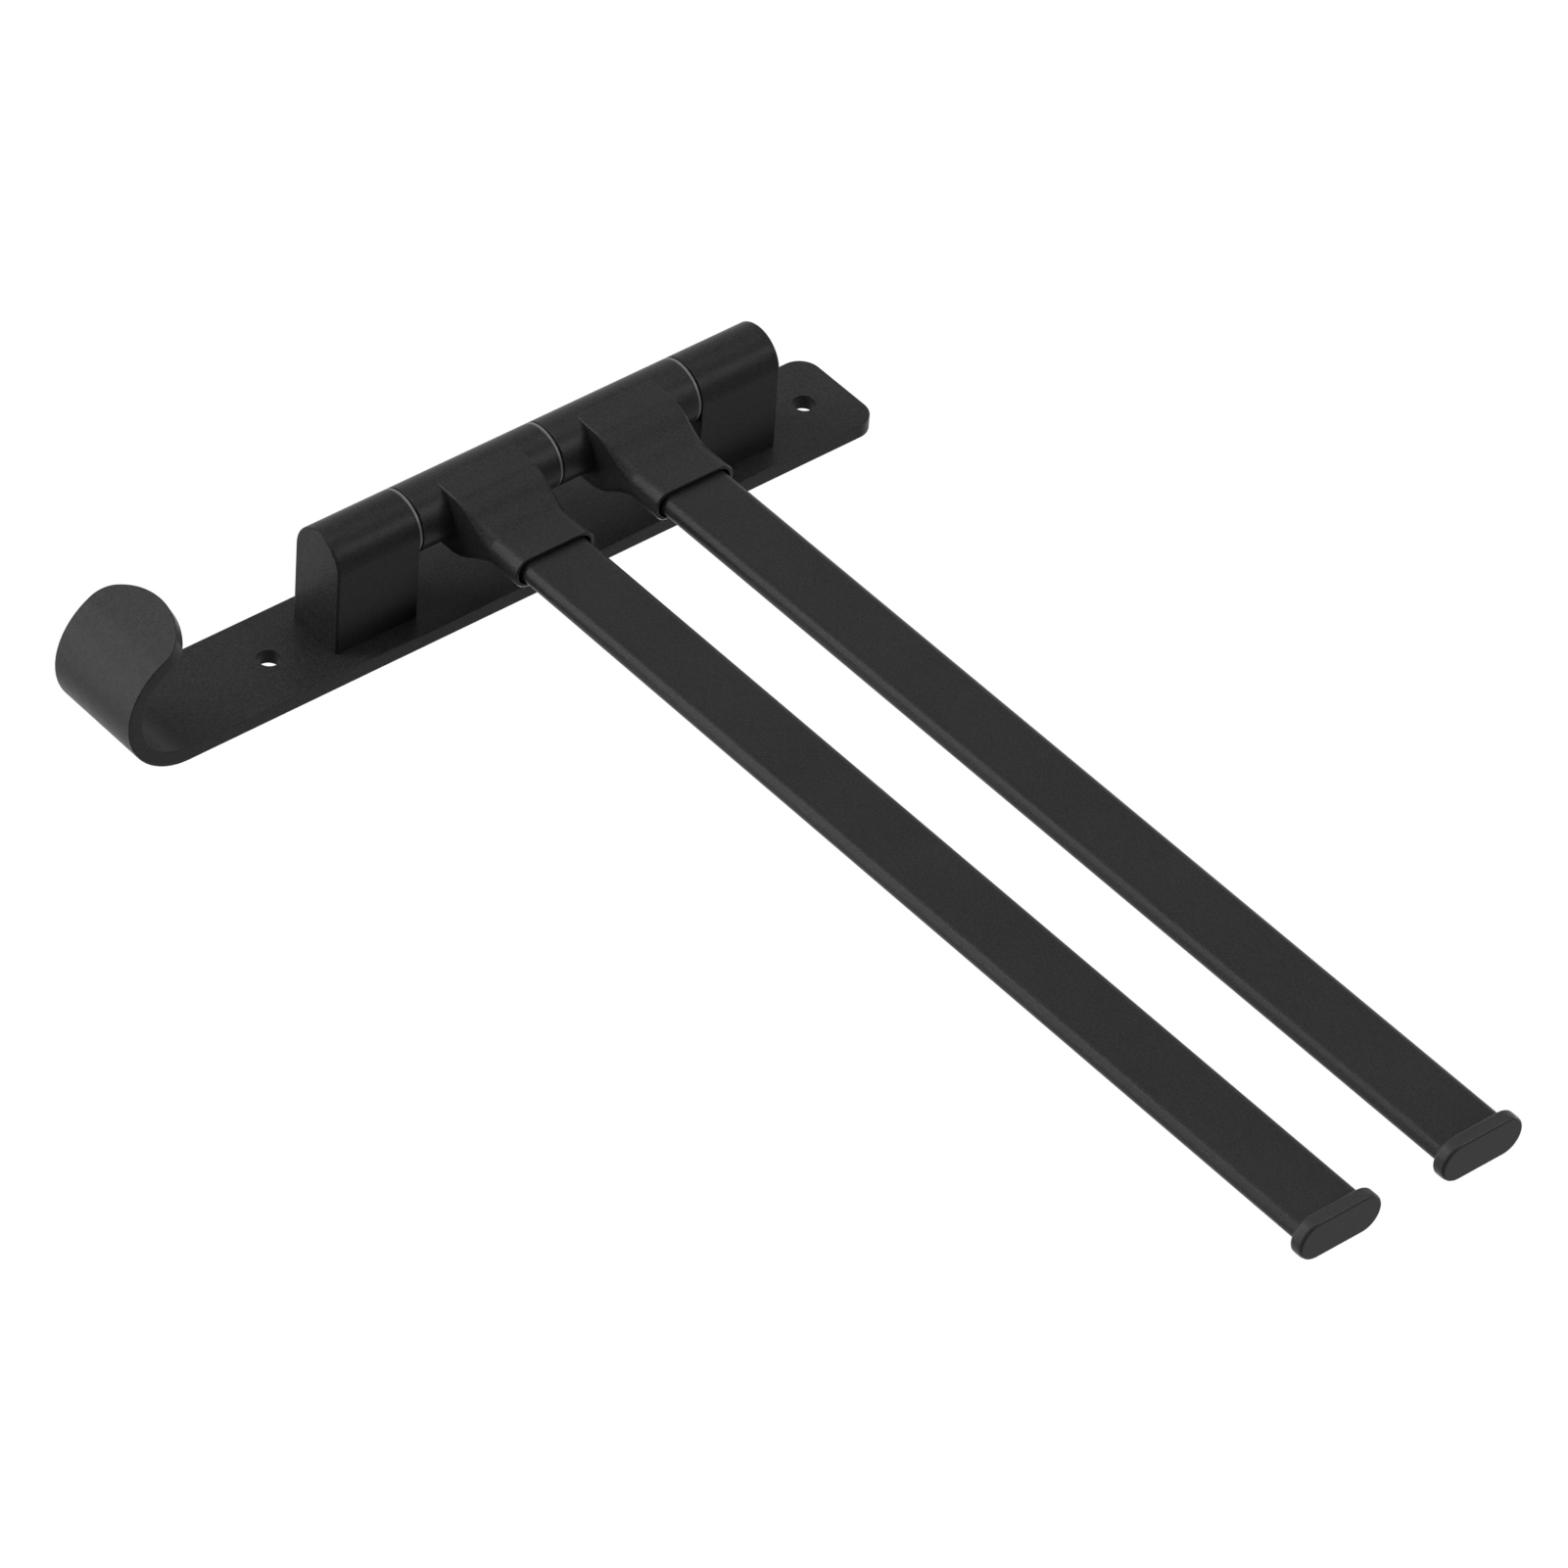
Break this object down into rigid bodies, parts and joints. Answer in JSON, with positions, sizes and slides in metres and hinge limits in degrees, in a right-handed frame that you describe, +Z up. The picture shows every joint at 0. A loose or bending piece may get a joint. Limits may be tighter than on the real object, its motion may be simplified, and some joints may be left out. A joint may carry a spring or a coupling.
{
  "type": "swing arm towel bar",
  "caption": "Wall plate bent into a robe hook at its foot, with flat towel bars that swing from side to side on a vertical rod held between posts.",
  "frame": {"origin": "midway between the centres of the two wall screw holes, on the wall face of the back plate", "axes": "+Z up along the back plate, +Y into the wall, +X along both bars at rest"},
  "size_m": [0.4249, 0.051, 0.2976],
  "materials": {
    "plate_black": "matte black coating with a fine grain",
    "post_black": "matte black coating with a fine grain",
    "hub_black": "matte black coating with a fine grain",
    "bar_black": "matte black coating on a hollow aluminium bar",
    "cap_black": "matte black moulded",
    "washer_grey": "grey low-friction plastic",
    "bush_pale": "pale low-friction plastic",
    "rod_steel": "ground",
    "screw_steel": "plated",
    "plug_aluminium": "plain, sawn"
  },
  "bodies": {
    "wall_bracket": {"back_plate": "plate_black", "lower_post": "post_black", "upper_post": "post_black", "post_screws": "screw_steel", "pivot_rod": "rod_steel", "rod_grub_screws": "screw_steel", "lower_washer": "washer_grey", "middle_washer": "washer_grey", "upper_washer": "washer_grey"},
    "lower_swing_arm": {"lower_hub": "hub_black", "lower_hub_bushes": "bush_pale", "lower_bar": "bar_black", "lower_bar_plug": "plug_aluminium", "lower_bar_screws": "screw_steel", "lower_end_cap": "cap_black"},
    "upper_swing_arm": {"upper_hub": "hub_black", "upper_hub_bushes": "bush_pale", "upper_bar": "bar_black", "upper_bar_plug": "plug_aluminium", "upper_bar_screws": "screw_steel", "upper_end_cap": "cap_black"}
  },
  "joints": [
    {"name": "lower_swing", "type": "hinge", "parent": "wall_bracket", "child": "lower_swing_arm", "pos_m": [0, -0.036, -0.02945], "axis": [0, 0, -1], "range_deg": [0, 180]},
    {"name": "upper_swing", "type": "hinge", "parent": "wall_bracket", "child": "upper_swing_arm", "pos_m": [0, -0.036, 0.02585], "axis": [0, 0, -1], "range_deg": [0, 180]}
  ]
}
